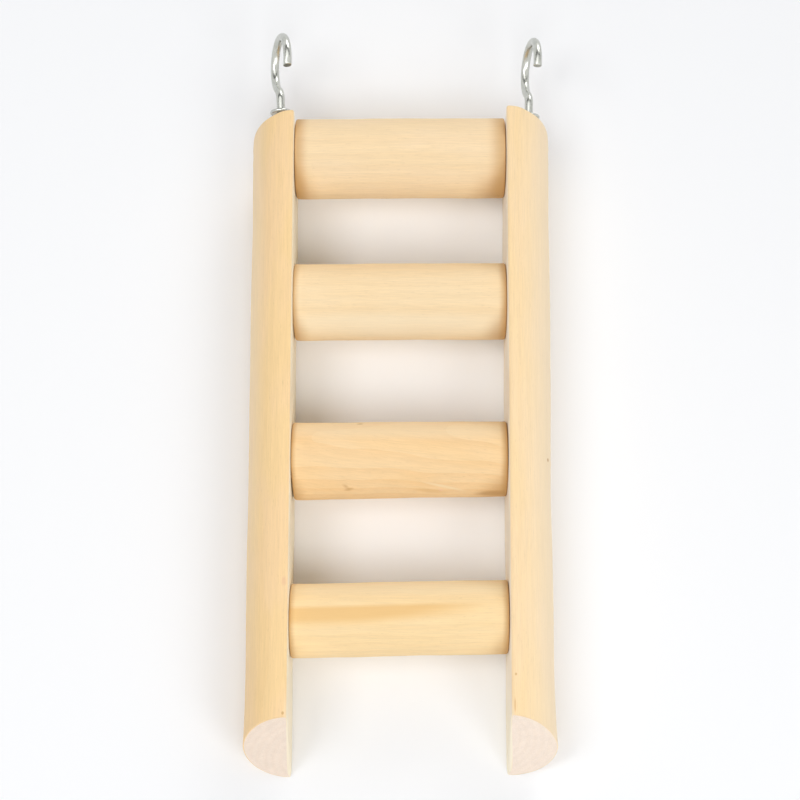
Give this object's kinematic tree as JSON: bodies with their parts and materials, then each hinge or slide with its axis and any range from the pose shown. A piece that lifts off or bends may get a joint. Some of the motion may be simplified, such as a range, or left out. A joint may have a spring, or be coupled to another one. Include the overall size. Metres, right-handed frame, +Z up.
{
  "type": "hamster ladder",
  "caption": "Small wooden cage ladder with half-round side rails cut on a slant, thick round rungs between their flats, and a steel screw hook at the top of each rail.",
  "frame": {"origin": "on the surface the ladder lies on, under the middle of its bounding box", "axes": "+X across the ladder to the right rail, +Y along the rails towards the hooks, +Z up, out of the side the hooks open toward"},
  "size_m": [0.0786, 0.1944, 0.0281],
  "materials": {
    "rail_left_wood": "sanded, unfinished",
    "rail_right_wood": "sanded, unfinished",
    "rung_wood_pale": "sanded, unfinished",
    "rung_wood_warm": "sanded, unfinished",
    "nail_steel": "plain wire nail",
    "hook_zinc": "bright zinc plated wire"
  },
  "bodies": {
    "root": {"rail_left": "rail_left_wood", "rail_right": "rail_right_wood", "rung_1": "rung_wood_pale", "rung_2": "rung_wood_pale", "rung_3": "rung_wood_warm", "rung_4": "rung_wood_warm", "nails": "nail_steel", "hook_left": "hook_zinc", "hook_right": "hook_zinc"}
  },
  "joints": []
}
